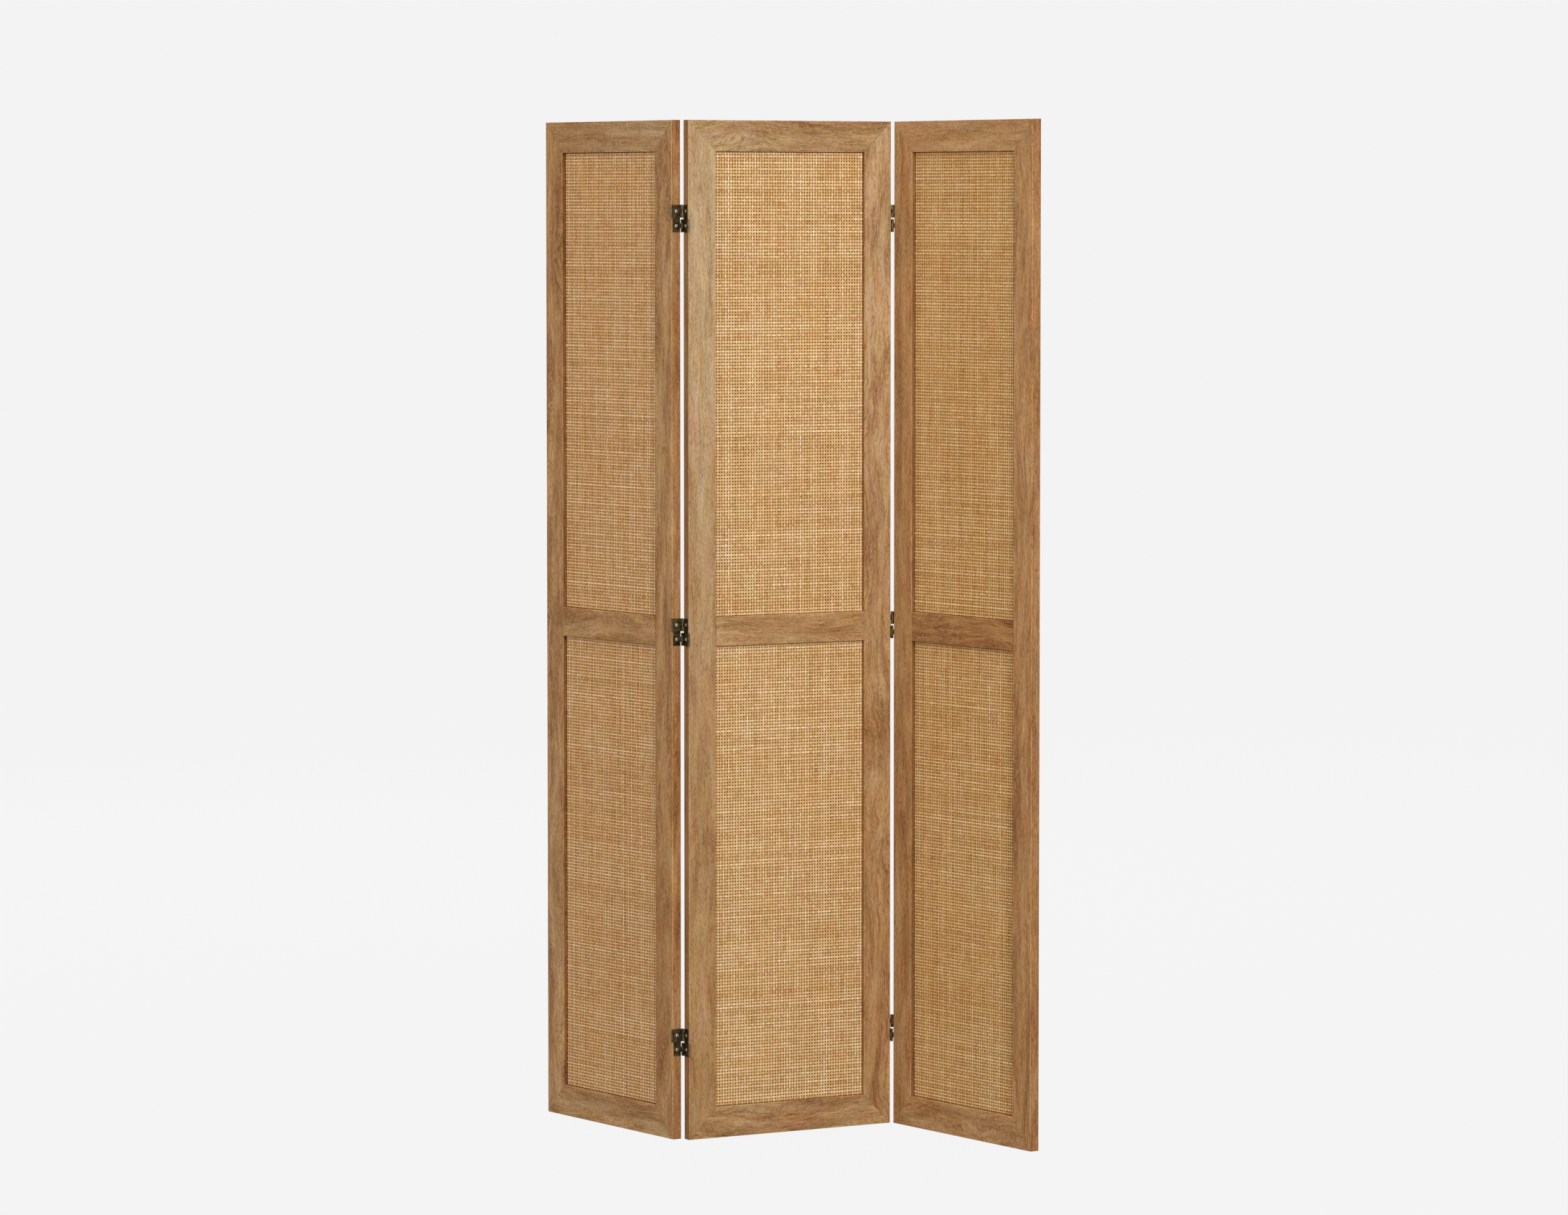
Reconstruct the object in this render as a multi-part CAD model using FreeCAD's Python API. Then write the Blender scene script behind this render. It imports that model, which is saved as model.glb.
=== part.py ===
import FreeCAD, Part
import math
import os

# Folding room divider: three tall panels of cane webbing in mitred wooden frames, which stand in
# a zigzag and are joined by double-action hinges. Millimetres, +Z up, the front toward -Y.
# The origin is on the floor, under the middle of the centre panel.
# A panel has its own frame: x along its width, y through its thickness with the front face at
# negative y, z up. A hinge has its own frame too, with its origin in the middle of the seam.

# Screen
SCREEN_HEIGHT = 1800.0
PANEL_WIDTH = 415.0
PANEL_THICKNESS = 18.0
FOLD_DEGREES = 86.0

# Frame members
FRAME_WIDTH = 55.0
MIDDLE_RAIL_WIDTH = 52.0
MIDDLE_RAIL_HEIGHT_SHARE = 0.5
ARRIS_RADIUS = 1.0
GROOVE_DEPTH = 8.0

# Infill: a thin board with cane webbing on both faces
BOARD_THICKNESS = 2.0
WEBBING_THICKNESS = 1.0
INFILL_SIDE_CLEARANCE = 0.1
INFILL_EDGE_CLEARANCE = 1.0

# Dowels across the corner mitres and into the middle rail
DOWEL_DIAMETER = 6.0
DOWEL_LENGTH = 30.0
DOWEL_RADIAL_CLEARANCE = 0.05
DOWEL_END_CLEARANCE = 1.0
MITRE_DOWEL_SHARES = (0.35, 0.65)
MIDDLE_DOWEL_SHARES = (-0.18, 0.18)

# Hinge leaves and links, all cut and rolled from one sheet
HINGE_HEIGHT = 48.0
HINGE_END_DISTANCE = 172.5
SEAM_GAP = 4.0
PIN_STANDOFF = 2.0
SHEET_THICKNESS = 1.1
LEAF_INSET = 1.5
LEAF_CORNER_RADIUS = 1.5
LINK_SPACING = 3.0
LINK_ACCESS_DIAMETER = 11.5
TAB_HEIGHT = 9.0
KNUCKLE_END_CLEARANCE = 0.15
KNUCKLE_NOTCH_CLEARANCE = 0.3
ROLL_SLIT = 0.3

# Hinge pins
PIN_DIAMETER = 2.5
PIN_RADIAL_CLEARANCE = 0.05
PIN_PROTRUSION = 0.5
PIN_CHAMFER = 0.35

# Hinge screws, countersunk with a raised head and a cross recess
SCREW_HEAD_DIAMETER = 7.4
SCREW_HEAD_RISE = 0.4
SCREW_SHANK_DIAMETER = 3.5
SCREW_LENGTH = 18.0
SCREW_TIP_LENGTH = 3.0
SCREW_CLEARANCE = 0.05
RECESS_WIDTH = 0.9
RECESS_SPAN = 4.0
RECESS_DEPTH = 1.1

# Extra length of every cutting body past the surface that it cuts
OVERRUN = 1.0

# Sizes that follow from the ones above
HALF_WIDTH = PANEL_WIDTH / 2
HALF_THICKNESS = PANEL_THICKNESS / 2
HALF_OPENING = HALF_WIDTH - FRAME_WIDTH
MIDDLE_HEIGHT = SCREEN_HEIGHT * MIDDLE_RAIL_HEIGHT_SHARE
MIDDLE_BOTTOM = MIDDLE_HEIGHT - MIDDLE_RAIL_WIDTH / 2
MIDDLE_TOP = MIDDLE_HEIGHT + MIDDLE_RAIL_WIDTH / 2
INFILL_THICKNESS = BOARD_THICKNESS + 2 * WEBBING_THICKNESS
GROOVE_WIDTH = INFILL_THICKNESS + 2 * INFILL_SIDE_CLEARANCE
INFILL_ENTRY = GROOVE_DEPTH - INFILL_EDGE_CLEARANCE
HALF_GAP = SEAM_GAP / 2
PIN_OFFSET = HALF_THICKNESS + PIN_STANDOFF
PIN_RADIUS = PIN_DIAMETER / 2
KNUCKLE_BORE_RADIUS = PIN_RADIUS + PIN_RADIAL_CLEARANCE
KNUCKLE_RADIUS = KNUCKLE_BORE_RADIUS + SHEET_THICKNESS
LINK_HEIGHT = (HINGE_HEIGHT - LINK_SPACING) / 2
LINK_CENTRE = (LINK_HEIGHT + LINK_SPACING) / 2
LEAF_HALF_WIDTH = HALF_THICKNESS - LEAF_INSET
LEAF_FACE = HALF_GAP - SHEET_THICKNESS
HEAD_RADIUS = SCREW_HEAD_DIAMETER / 2
SHANK_RADIUS = SCREW_SHANK_DIAMETER / 2
HEAD_DEPTH = HEAD_RADIUS - SHANK_RADIUS

LEFT, RIGHT = -1, 1
X_AXIS = FreeCAD.Vector(1, 0, 0)
Y_AXIS = FreeCAD.Vector(0, 1, 0)
Z_AXIS = FreeCAD.Vector(0, 0, 1)
HALF_TURN = 180.0

HINGE_LEVELS = {
    "top": SCREEN_HEIGHT - HINGE_END_DISTANCE,
    "middle": MIDDLE_HEIGHT,
    "bottom": HINGE_END_DISTANCE,
}
# For each seam: the panel on its left, the panel on its right, and which of them carries the
# upper links while the seam folds about the pins that it uses here
SEAMS = {
    "left": ("left", "centre", "left"),
    "right": ("centre", "right", "right"),
}


def box(x_range, y_range, z_range):
    """A box between two values on each axis."""
    low = FreeCAD.Vector(min(x_range), min(y_range), min(z_range))
    high = FreeCAD.Vector(max(x_range), max(y_range), max(z_range))
    size = high - low
    return Part.makeBox(size.x, size.y, size.z, low)


def prism(points, y_range):
    """A prism through the thickness, over an outline of (x, z) points."""
    corners = [FreeCAD.Vector(x, y_range[0], z) for x, z in points]
    face = Part.Face(Part.makePolygon(corners + corners[:1]))
    return face.extrude(Y_AXIS * (y_range[1] - y_range[0]))


def turned(shape, degrees):
    """A copy turned about the vertical axis of its own frame."""
    copy = shape.copy()
    copy.rotate(FreeCAD.Vector(), Z_AXIS, degrees)
    return copy


def moved(shape, vector):
    """A copy moved by a vector."""
    copy = shape.copy()
    copy.translate(vector)
    return copy


def long_edges(shape, along):
    """The straight edges of a bar that run in one direction."""
    edges = []
    for edge in shape.Edges:
        run = edge.Vertexes[-1].Point - edge.Vertexes[0].Point
        if run.cross(along).Length < abs(run.dot(along)):
            edges.append(edge)
    return edges


def eased_bar(x_range, z_range, along):
    """A bar as thick as the panel with its four long arrises rounded."""
    bar = box(x_range, (-HALF_THICKNESS, HALF_THICKNESS), z_range)
    return bar.makeFillet(ARRIS_RADIUS, long_edges(bar, along))


def mitred(bar, points):
    """A bar trimmed to an outline of (x, z) points with slanted ends."""
    reach = HALF_THICKNESS + OVERRUN
    return bar.common(prism(points, (-reach, reach)))


def dowel_places():
    """The centre and direction of each dowel in a panel."""
    places = []
    for side in (LEFT, RIGHT):
        for end, height in ((1, 0), (-1, SCREEN_HEIGHT)):
            inward = FreeCAD.Vector(-side, 0, end)
            across = FreeCAD.Vector(end, 0, side)
            corner = FreeCAD.Vector(side * HALF_WIDTH, 0, height)
            for share in MITRE_DOWEL_SHARES:
                places.append((corner + inward * (share * FRAME_WIDTH), across.normalize()))
        for share in MIDDLE_DOWEL_SHARES:
            height = MIDDLE_HEIGHT + share * MIDDLE_RAIL_WIDTH
            places.append((FreeCAD.Vector(side * HALF_OPENING, 0, height), X_AXIS))
    return places


def rods(radius, length):
    """Round rods of one size at every dowel's place."""
    return [
        Part.makeCylinder(radius, length, centre - direction * (length / 2), direction)
        for centre, direction in dowel_places()
    ]


def dowels():
    """The dowels of a panel, as separate solids."""
    return Part.makeCompound(rods(DOWEL_DIAMETER / 2, DOWEL_LENGTH))


def drilled(member):
    """A frame member with the bores for its dowels."""
    radius = DOWEL_DIAMETER / 2 + DOWEL_RADIAL_CLEARANCE
    bores = rods(radius, DOWEL_LENGTH + 2 * DOWEL_END_CLEARANCE)
    near = [bore for bore in bores if bore.BoundBox.intersect(member.BoundBox)]
    return member.cut(Part.makeCompound(near))


def groove(x_range, z_range):
    """The space of a groove for the infill, in the middle of the thickness."""
    return box(x_range, (-GROOVE_WIDTH / 2, GROOVE_WIDTH / 2), z_range)


def stile(side, hinged):
    """An upright of a panel's frame; a hinged one has bores for the hinge screws."""
    outer = side * HALF_WIDTH
    inner = side * HALF_OPENING
    bar = eased_bar((inner, outer), (0, SCREEN_HEIGHT), Z_AXIS)
    bottom = inner + side * GROOVE_DEPTH
    slot = groove((inner - side * OVERRUN, bottom), (-OVERRUN, SCREEN_HEIGHT + OVERRUN))
    outline = [
        (outer, 0),
        (inner, FRAME_WIDTH),
        (inner, SCREEN_HEIGHT - FRAME_WIDTH),
        (outer, SCREEN_HEIGHT),
    ]
    member = drilled(mitred(bar, outline).cut(slot))
    if hinged:
        member = member.cut(Part.makeCompound(edge_screws(side, screw_cavity())))
    return member


def end_rail(height, inward):
    """The top or bottom rail; inward is +1 where the opening is above it and -1 below."""
    inner = height + inward * FRAME_WIDTH
    bar = eased_bar((-HALF_WIDTH, HALF_WIDTH), (height, inner), X_AXIS)
    bottom = inner - inward * GROOVE_DEPTH
    reach = HALF_WIDTH + OVERRUN
    slot = groove((-reach, reach), (inner + inward * OVERRUN, bottom))
    outline = [
        (-HALF_WIDTH, height),
        (HALF_WIDTH, height),
        (HALF_OPENING, inner),
        (-HALF_OPENING, inner),
    ]
    return drilled(mitred(bar, outline).cut(slot))


def middle_rail():
    """The middle rail, butted between the stiles, with a tongue in each stile's groove."""
    bar = eased_bar((-HALF_OPENING, HALF_OPENING), (MIDDLE_BOTTOM, MIDDLE_TOP), X_AXIS)
    tongue_reach = HALF_OPENING + INFILL_ENTRY
    tongue = box(
        (-tongue_reach, tongue_reach),
        (-INFILL_THICKNESS / 2, INFILL_THICKNESS / 2),
        (MIDDLE_BOTTOM + GROOVE_DEPTH, MIDDLE_TOP - GROOVE_DEPTH),
    )
    reach = HALF_OPENING + OVERRUN
    upper = groove((-reach, reach), (MIDDLE_TOP - GROOVE_DEPTH, MIDDLE_TOP + OVERRUN))
    lower = groove((-reach, reach), (MIDDLE_BOTTOM - OVERRUN, MIDDLE_BOTTOM + GROOVE_DEPTH))
    return drilled(bar.cut(Part.makeCompound([upper, lower])).fuse(tongue).removeSplitter())


def infill_spans():
    """The heights between which each opening's infill reaches into its grooves."""
    return {
        "upper": (MIDDLE_TOP - INFILL_ENTRY, SCREEN_HEIGHT - FRAME_WIDTH + INFILL_ENTRY),
        "lower": (FRAME_WIDTH - INFILL_ENTRY, MIDDLE_BOTTOM + INFILL_ENTRY),
    }


def infill_sheet(opening, y_range):
    """A flat sheet that fills one opening and enters the grooves around it."""
    reach = HALF_OPENING + INFILL_ENTRY
    return box((-reach, reach), y_range, infill_spans()[opening])


def board(opening):
    """The thin board between the two layers of webbing in one opening."""
    return infill_sheet(opening, (-BOARD_THICKNESS / 2, BOARD_THICKNESS / 2))


def webbing(face):
    """The cane webbing on one face of a panel, over both openings; face is -1 at the front."""
    y_range = (face * BOARD_THICKNESS / 2, face * INFILL_THICKNESS / 2)
    return Part.makeCompound([infill_sheet(opening, y_range) for opening in infill_spans()])


def screw():
    """A raised countersunk screw along -x, with the rim of its head at x = 0."""
    sphere_radius = (HEAD_RADIUS ** 2 + SCREW_HEAD_RISE ** 2) / (2 * SCREW_HEAD_RISE)
    half_radius = HEAD_RADIUS / 2
    half_rise = math.sqrt(sphere_radius ** 2 - half_radius ** 2) - sphere_radius + SCREW_HEAD_RISE
    top = FreeCAD.Vector(SCREW_HEAD_RISE, 0, 0)
    rim = FreeCAD.Vector(0, HEAD_RADIUS, 0)
    neck = FreeCAD.Vector(-HEAD_DEPTH, SHANK_RADIUS, 0)
    shoulder = FreeCAD.Vector(SCREW_TIP_LENGTH - SCREW_LENGTH, SHANK_RADIUS, 0)
    tip = FreeCAD.Vector(-SCREW_LENGTH, 0, 0)
    dome = Part.Arc(top, FreeCAD.Vector(half_rise, half_radius, 0), rim).toShape()
    outline = Part.Wire([dome] + Part.makePolygon([rim, neck, shoulder, tip, top]).Edges)
    body = Part.Face(outline).revolve(FreeCAD.Vector(), X_AXIS, 2 * HALF_TURN)
    depth_range = (SCREW_HEAD_RISE - RECESS_DEPTH, SCREW_HEAD_RISE + OVERRUN)
    narrow = (-RECESS_WIDTH / 2, RECESS_WIDTH / 2)
    wide = (-RECESS_SPAN / 2, RECESS_SPAN / 2)
    recess = box(depth_range, narrow, wide).fuse(box(depth_range, wide, narrow))
    return body.cut(recess)


def screw_cavity():
    """The countersunk bore that one screw passes through, a little larger than the screw."""
    rim = HEAD_RADIUS + SCREW_CLEARANCE
    neck = SHANK_RADIUS + SCREW_CLEARANCE
    cone = Part.makeCone(neck, rim + OVERRUN, HEAD_DEPTH + OVERRUN, X_AXIS * -HEAD_DEPTH, X_AXIS)
    depth = SCREW_LENGTH + SCREW_CLEARANCE
    return cone.fuse(Part.makeCylinder(neck, depth, FreeCAD.Vector(), X_AXIS * -1))


def screw_places():
    """The places of a leaf's two screws in the hinge's frame, on a left-hand leaf."""
    return [FreeCAD.Vector(-LEAF_FACE, 0, half * LINK_CENTRE) for half in (1, -1)]


def edge_screws(side, shape):
    """Copies of a screw, or of its cavity, in one hinged edge of a panel."""
    turn = 0 if side == RIGHT else HALF_TURN
    copies = []
    for level in HINGE_LEVELS:
        for place in screw_places():
            copy = turned(moved(shape, place), turn)
            copies.append(moved(copy, hinge_origin(side, level)))
    return copies


def hinge_origin(side, level):
    """The origin of the hinge frame beside one edge of a panel, in the panel's frame."""
    return FreeCAD.Vector(side * (HALF_WIDTH + HALF_GAP), 0, HINGE_LEVELS[level])


def knuckle(z_range, slit_from):
    """A rolled knuckle about the front pin's axis, slit where its curl ends beside the sheet."""
    axis = FreeCAD.Vector(0, -PIN_OFFSET, min(z_range))
    height = max(z_range) - min(z_range)
    roll = Part.makeCylinder(KNUCKLE_RADIUS, height, axis, Z_AXIS)
    slit = box(
        (slit_from, slit_from + ROLL_SLIT),
        (-PIN_OFFSET, OVERRUN - PIN_OFFSET + KNUCKLE_RADIUS),
        (min(z_range) - OVERRUN, max(z_range) + OVERRUN),
    )
    return roll.cut(slit)


def pin_bore(y_sign):
    """The bore for a pin, over the full height of the hinge."""
    base = FreeCAD.Vector(0, y_sign * PIN_OFFSET, -HINGE_HEIGHT)
    return Part.makeCylinder(KNUCKLE_BORE_RADIUS, 2 * HINGE_HEIGHT, base, Z_AXIS)


def leaf_tab(half):
    """The front tab of a left-hand leaf, joggled outward so that it runs into its knuckle."""
    z_range = (half * LINK_CENTRE - TAB_HEIGHT / 2, half * LINK_CENTRE + TAB_HEIGHT / 2)
    joggle = KNUCKLE_RADIUS - HALF_GAP
    outline = [
        (-HALF_GAP, -LEAF_HALF_WIDTH + LEAF_CORNER_RADIUS),
        (-HALF_GAP, -HALF_THICKNESS),
        (-HALF_GAP - joggle, -PIN_OFFSET),
        (-LEAF_FACE - joggle, -PIN_OFFSET),
        (-LEAF_FACE, -HALF_THICKNESS),
        (-LEAF_FACE, -LEAF_HALF_WIDTH + LEAF_CORNER_RADIUS),
    ]
    corners = [FreeCAD.Vector(x, y, min(z_range)) for x, y in outline]
    face = Part.Face(Part.makePolygon(corners + corners[:1]))
    sheet = face.extrude(Z_AXIS * TAB_HEIGHT)
    return sheet.fuse(knuckle(z_range, -LEAF_FACE))


def left_leaf():
    """The leaf on the edge of a seam's left-hand panel, with its upper tab at the front."""
    plate = box(
        (-HALF_GAP, -LEAF_FACE),
        (-LEAF_HALF_WIDTH, LEAF_HALF_WIDTH),
        (-HINGE_HEIGHT / 2, HINGE_HEIGHT / 2),
    )
    plate = plate.makeFillet(LEAF_CORNER_RADIUS, long_edges(plate, X_AXIS))
    front_tab = leaf_tab(1)
    back_tab = leaf_tab(-1).mirror(FreeCAD.Vector(), Y_AXIS)
    leaf = plate.multiFuse([front_tab, back_tab]).removeSplitter()
    cavities = [moved(screw_cavity(), place) for place in screw_places()]
    return leaf.cut(Part.makeCompound(cavities + [pin_bore(-1), pin_bore(1)]))


def right_leaf():
    """The leaf on the edge of a seam's right-hand panel, with its upper tab at the back."""
    return turned(left_leaf(), HALF_TURN)


def link(half):
    """A link between a pin at the front and a pin at the back; half is +1 for the upper one."""
    centre = half * LINK_CENTRE
    bottom = centre - LINK_HEIGHT / 2
    top = centre + LINK_HEIGHT / 2
    half_sheet = SHEET_THICKNESS / 2
    half_notch = TAB_HEIGHT / 2 + KNUCKLE_END_CLEARANCE
    notch_start = PIN_OFFSET - KNUCKLE_RADIUS - KNUCKLE_NOTCH_CLEARANCE
    notch_end = PIN_OFFSET + KNUCKLE_RADIUS + OVERRUN
    body = box((-half_sheet, half_sheet), (-PIN_OFFSET, PIN_OFFSET), (bottom, top))
    front = knuckle((bottom, top), half_sheet)
    body = body.multiFuse([front, turned(front, HALF_TURN)]).removeSplitter()
    cuts = [pin_bore(-1), pin_bore(1)]
    for y_sign in (-1, 1):
        y_range = (y_sign * notch_start, y_sign * notch_end)
        cuts.append(box((-notch_end, notch_end), y_range, (centre - half_notch, centre + half_notch)))
    access_base = FreeCAD.Vector(-half_sheet - OVERRUN, 0, centre)
    access_length = SHEET_THICKNESS + 2 * OVERRUN
    cuts.append(Part.makeCylinder(LINK_ACCESS_DIAMETER / 2, access_length, access_base, X_AXIS))
    return body.cut(Part.makeCompound(cuts))


def pin(y_sign, half):
    """A hinge pin through one half's knuckles, at the front or at the back."""
    length = LINK_HEIGHT + 2 * PIN_PROTRUSION
    base = FreeCAD.Vector(0, y_sign * PIN_OFFSET, half * LINK_CENTRE - length / 2)
    rod = Part.makeCylinder(PIN_RADIUS, length, base, Z_AXIS)
    rims = [edge for edge in rod.Edges if edge.Closed]
    return rod.makeChamfer(PIN_CHAMFER, rims)


def edge_pins(side):
    """The pins that the leaves on one edge of a panel hold, in the panel's frame."""
    front_half = side
    pins = []
    for level in HINGE_LEVELS:
        for y_sign, half in ((-1, front_half), (1, -front_half)):
            pins.append(moved(pin(y_sign, half), hinge_origin(side, level)))
    return pins


def hinged_sides(panel):
    """The edges of a panel that carry hinges."""
    sides = []
    for left_panel, right_panel, _ in SEAMS.values():
        if panel == left_panel:
            sides.append(RIGHT)
        if panel == right_panel:
            sides.append(LEFT)
    return sides


def panel_nodes(panel):
    """Every piece that stays with one panel's frame, by name, in the panel's frame."""
    sides = hinged_sides(panel)
    screws = []
    pins = []
    for side in sides:
        screws += edge_screws(side, screw())
        pins += edge_pins(side)
    return {
        "left_stile": stile(LEFT, LEFT in sides),
        "right_stile": stile(RIGHT, RIGHT in sides),
        "top_rail": end_rail(SCREEN_HEIGHT, -1),
        "middle_rail": middle_rail(),
        "bottom_rail": end_rail(0, 1),
        "upper_board": board("upper"),
        "lower_board": board("lower"),
        "front_webbing": webbing(-1),
        "rear_webbing": webbing(1),
        "dowels": dowels(),
        "hinge_screws": Part.makeCompound(screws),
        "hinge_pins": Part.makeCompound(pins),
    }


def seam_place(panel, side, y_sign):
    """Where the front or back pin axis beside one edge of a panel lies, for a centred panel."""
    place = FreeCAD.Vector(side * (HALF_WIDTH + HALF_GAP), y_sign * PIN_OFFSET, 0)
    return FreeCAD.Rotation(Z_AXIS, panel_turn(panel)).multVec(place)


def panel_turn(panel):
    """The turn of a panel about the vertical, in degrees, in the standing zigzag."""
    return FOLD_DEGREES / 2 if panel == "centre" else -FOLD_DEGREES / 2


def panel_placement(panel):
    """The place of a panel in the standing screen: outer panels share a pin axis with the centre."""
    turn = FreeCAD.Rotation(Z_AXIS, panel_turn(panel))
    if panel == "left":
        offset = seam_place("centre", LEFT, 1) - seam_place("left", RIGHT, 1)
    elif panel == "right":
        offset = seam_place("centre", RIGHT, -1) - seam_place("right", LEFT, -1)
    else:
        offset = FreeCAD.Vector()
    return FreeCAD.Placement(offset, turn)


def placed(shape, panel):
    """A copy of a shape from a panel's frame, in the standing screen."""
    copy = shape.copy()
    copy.Placement = panel_placement(panel).multiply(copy.Placement)
    return copy


def hinge_nodes(seam, level):
    """The leaves and links of one hinge, by name, each with the panel that it moves with."""
    left_panel, right_panel, upper_panel = SEAMS[seam]
    lower_panel = left_panel if upper_panel == right_panel else right_panel
    pieces = {
        "left_leaf": (left_leaf(), left_panel),
        "right_leaf": (right_leaf(), right_panel),
        "upper_link": (link(1), upper_panel),
        "lower_link": (link(-1), lower_panel),
    }
    nodes = {}
    for name, (shape, panel) in pieces.items():
        side = RIGHT if panel == left_panel else LEFT
        nodes[name] = placed(moved(shape, hinge_origin(side, level)), panel)
    return nodes


def save(name, shape):
    """Write one piece, or one set of like pieces, to its own file."""
    shape.exportStep(f"parts/{name}.step")


def main():
    """Build every piece of the screen and write it."""
    os.makedirs("parts", exist_ok=True)
    for panel in ("left", "centre", "right"):
        for name, shape in panel_nodes(panel).items():
            save(f"{panel}_panel_{name}", placed(shape, panel))
    for seam in SEAMS:
        for level in HINGE_LEVELS:
            for name, shape in hinge_nodes(seam, level).items():
                save(f"{seam}_{level}_hinge_{name}", shape)


main()
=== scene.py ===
"""Looks of a three-panel folding room divider: framed panels, woven cane, folding hinges and the studio."""

import logging
import math
from dataclasses import dataclass, field, replace
from enum import Enum
from typing import Mapping, Sequence

import bpy
import numpy as np
from mathutils import Matrix, Vector


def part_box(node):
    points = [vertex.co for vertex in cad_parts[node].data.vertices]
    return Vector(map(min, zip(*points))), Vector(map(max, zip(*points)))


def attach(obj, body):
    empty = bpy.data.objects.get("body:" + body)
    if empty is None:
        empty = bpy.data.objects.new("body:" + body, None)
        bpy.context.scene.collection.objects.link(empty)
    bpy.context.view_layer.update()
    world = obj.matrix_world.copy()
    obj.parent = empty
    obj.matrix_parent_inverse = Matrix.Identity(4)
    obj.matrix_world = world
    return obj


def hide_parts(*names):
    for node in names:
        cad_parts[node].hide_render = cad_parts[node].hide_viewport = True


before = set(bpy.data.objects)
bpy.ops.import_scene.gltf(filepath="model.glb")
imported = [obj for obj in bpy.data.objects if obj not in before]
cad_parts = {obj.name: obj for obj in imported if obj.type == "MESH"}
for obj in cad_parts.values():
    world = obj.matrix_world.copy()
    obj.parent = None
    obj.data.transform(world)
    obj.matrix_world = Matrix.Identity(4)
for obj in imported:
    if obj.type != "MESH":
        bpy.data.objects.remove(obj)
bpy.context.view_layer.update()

log = logging.getLogger("room_divider")

Shade = tuple[float, float, float]
Colour = tuple[float, float, float, float]
Socket = bpy.types.NodeSocket
Material = bpy.types.Material
Piece = bpy.types.Object
Number = float | Socket
Tint = Colour | Socket
Inputs = Mapping[str | int, Number | Sequence[float]]

MILLIMETRE = 0.001
HALF_FOLD = math.radians(43.0)
NOISE_MIDDLE = 0.5
COOL_GREEN_SHARE = 0.45


def opaque(shade: Sequence[float]) -> Colour:
    """A colour that nothing shows through."""
    return (*shade, 1.0)


def linked(name: str, data: bpy.types.ID) -> Piece:
    """Puts a new object into the scene.

    Args:
        name: Its name.
        data: Its mesh, lamp or camera.

    Returns:
        The object.
    """
    made = bpy.data.objects.new(name, data)
    bpy.context.scene.collection.objects.link(made)
    return made


class Panel(Enum):
    """The three leaves of the screen, by the names that their bodies have."""

    LEFT = "left"
    CENTRE = "centre"
    RIGHT = "right"

    @property
    def body(self) -> str:
        """The body that everything on this panel moves with."""
        return f"{self.value}_panel"

    @property
    def number(self) -> int:
        """The panel's place in the row, from 0 at the left."""
        return list(Panel).index(self)

    @property
    def turn(self) -> float:
        """How far the panel stands turned about the vertical, in radians."""
        return HALF_FOLD if self is Panel.CENTRE else -HALF_FOLD

    @property
    def across(self) -> Vector:
        """The way from the panel's left edge to its right edge."""
        return Vector((math.cos(self.turn), math.sin(self.turn), 0.0))


class Face(Enum):
    """The two sides of a panel, with the way each one looks along the panel's thickness."""

    FRONT = -1
    REAR = 1


class Opening(Enum):
    """The two framed openings of a panel."""

    UPPER = "upper"
    LOWER = "lower"


class Grain(Enum):
    """Which way the wood of a frame member runs."""

    UPRIGHT = "upright"
    LEVEL = "level"


class Member(Enum):
    """The five bars of a panel's frame."""

    LEFT_STILE = "left_stile"
    RIGHT_STILE = "right_stile"
    TOP_RAIL = "top_rail"
    MIDDLE_RAIL = "middle_rail"
    BOTTOM_RAIL = "bottom_rail"

    @property
    def grain(self) -> Grain:
        """The grain follows the length of the bar."""
        return Grain.UPRIGHT if "stile" in self.value else Grain.LEVEL


@dataclass(frozen=True)
class FrameSize:
    """The sizes of a panel's frame, in metres."""

    width: float = 0.415
    height: float = 1.8
    bar: float = 0.055
    middle_bar: float = 0.052
    groove: float = 0.007

    @property
    def half_opening(self) -> float:
        """Half the width of an opening."""
        return self.width / 2 - self.bar

    def opening(self, opening: Opening) -> tuple[float, float]:
        """The lowest and highest edge of an opening.

        Args:
            opening: Which one.

        Returns:
            Its two heights.
        """
        middle_low = (self.height - self.middle_bar) / 2
        if opening is Opening.LOWER:
            return self.bar, middle_low
        return middle_low + self.middle_bar, self.height - self.bar


@dataclass(frozen=True)
class Place:
    """Where a panel stands: its middle on the floor plan and its turn."""

    centre: Vector
    turn: float

    @classmethod
    def of(cls, panel: Panel) -> "Place":
        """Reads a panel's place from its middle rail, which lies square in the middle of it.

        Args:
            panel: The panel to look up.

        Returns:
            The panel's place in the shared frame.
        """
        low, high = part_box(f"{panel.value}_panel_middle_rail")
        middle = (low + high) / 2
        return cls(Vector((middle.x, middle.y, 0.0)), panel.turn)

    def to_world(self, points: np.ndarray) -> np.ndarray:
        """Carries points from the panel's own axes to the shared frame.

        Args:
            points: Rows of x across, y through and z up the panel, in metres.

        Returns:
            The same rows in the shared frame.
        """
        turned = Matrix.Rotation(self.turn, 3, "Z")
        return points @ np.array(turned).T + np.array(self.centre)


@dataclass(frozen=True)
class Span:
    """The range over which a number is read, and what the two ends of that range become."""

    low: float
    high: float
    first: float = 0.0
    last: float = 1.0


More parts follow.
